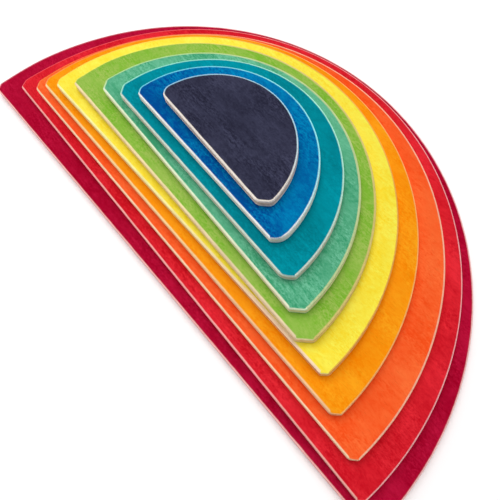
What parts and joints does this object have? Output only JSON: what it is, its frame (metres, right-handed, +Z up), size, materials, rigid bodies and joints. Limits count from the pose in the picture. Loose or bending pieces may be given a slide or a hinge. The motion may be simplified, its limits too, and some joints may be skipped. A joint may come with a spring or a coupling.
{
  "type": "rainbow stacker",
  "caption": "Stack of loose half-disc plywood boards in rainbow colours, graded from the largest at the bottom to the smallest on top, with clipped corners and bare edges.",
  "frame": {"origin": "middle of the base board's bounding box, on the surface that the stack rests on", "axes": "+Z up through the stack, +X along the base board's straight edge, -Y out of that edge"},
  "size_m": [0.3698, 0.185, 0.06],
  "materials": {
    "crimson_dye": "matte dyed",
    "red_dye": "matte dyed",
    "vermilion_dye": "matte dyed",
    "amber_dye": "matte dyed",
    "yellow_dye": "matte dyed",
    "lime_dye": "matte dyed",
    "mint_dye": "matte dyed",
    "teal_dye": "matte dyed",
    "blue_dye": "matte dyed",
    "navy_dye": "matte dyed",
    "bare_core": "bare sanded"
  },
  "bodies": {
    "crimson_board": {"crimson_back": "crimson_dye", "crimson_core": "bare_core", "crimson_face": "crimson_dye"},
    "red_board": {"red_back": "red_dye", "red_core": "bare_core", "red_face": "red_dye"},
    "vermilion_board": {"vermilion_back": "vermilion_dye", "vermilion_core": "bare_core", "vermilion_face": "vermilion_dye"},
    "amber_board": {"amber_back": "amber_dye", "amber_core": "bare_core", "amber_face": "amber_dye"},
    "yellow_board": {"yellow_back": "yellow_dye", "yellow_core": "bare_core", "yellow_face": "yellow_dye"},
    "lime_board": {"lime_back": "lime_dye", "lime_core": "bare_core", "lime_face": "lime_dye"},
    "mint_board": {"mint_back": "mint_dye", "mint_core": "bare_core", "mint_face": "mint_dye"},
    "teal_board": {"teal_back": "teal_dye", "teal_core": "bare_core", "teal_face": "teal_dye"},
    "blue_board": {"blue_back": "blue_dye", "blue_core": "bare_core", "blue_face": "blue_dye"},
    "navy_board": {"navy_back": "navy_dye", "navy_core": "bare_core", "navy_face": "navy_dye"}
  },
  "joints": [
    {"name": "red_lift", "type": "slide", "parent": "crimson_board", "child": "red_board", "axis": [0, 0, 1], "range_m": [0, 0.04]},
    {"name": "vermilion_lift", "type": "slide", "parent": "red_board", "child": "vermilion_board", "axis": [0, 0, 1], "range_m": [0, 0.04]},
    {"name": "amber_lift", "type": "slide", "parent": "vermilion_board", "child": "amber_board", "axis": [0, 0, 1], "range_m": [0, 0.04]},
    {"name": "yellow_lift", "type": "slide", "parent": "amber_board", "child": "yellow_board", "axis": [0, 0, 1], "range_m": [0, 0.04]},
    {"name": "lime_lift", "type": "slide", "parent": "yellow_board", "child": "lime_board", "axis": [0, 0, 1], "range_m": [0, 0.04]},
    {"name": "mint_lift", "type": "slide", "parent": "lime_board", "child": "mint_board", "axis": [0, 0, 1], "range_m": [0, 0.04]},
    {"name": "teal_lift", "type": "slide", "parent": "mint_board", "child": "teal_board", "axis": [0, 0, 1], "range_m": [0, 0.04]},
    {"name": "blue_lift", "type": "slide", "parent": "teal_board", "child": "blue_board", "axis": [0, 0, 1], "range_m": [0, 0.04]},
    {"name": "navy_lift", "type": "slide", "parent": "blue_board", "child": "navy_board", "axis": [0, 0, 1], "range_m": [0, 0.04]}
  ]
}
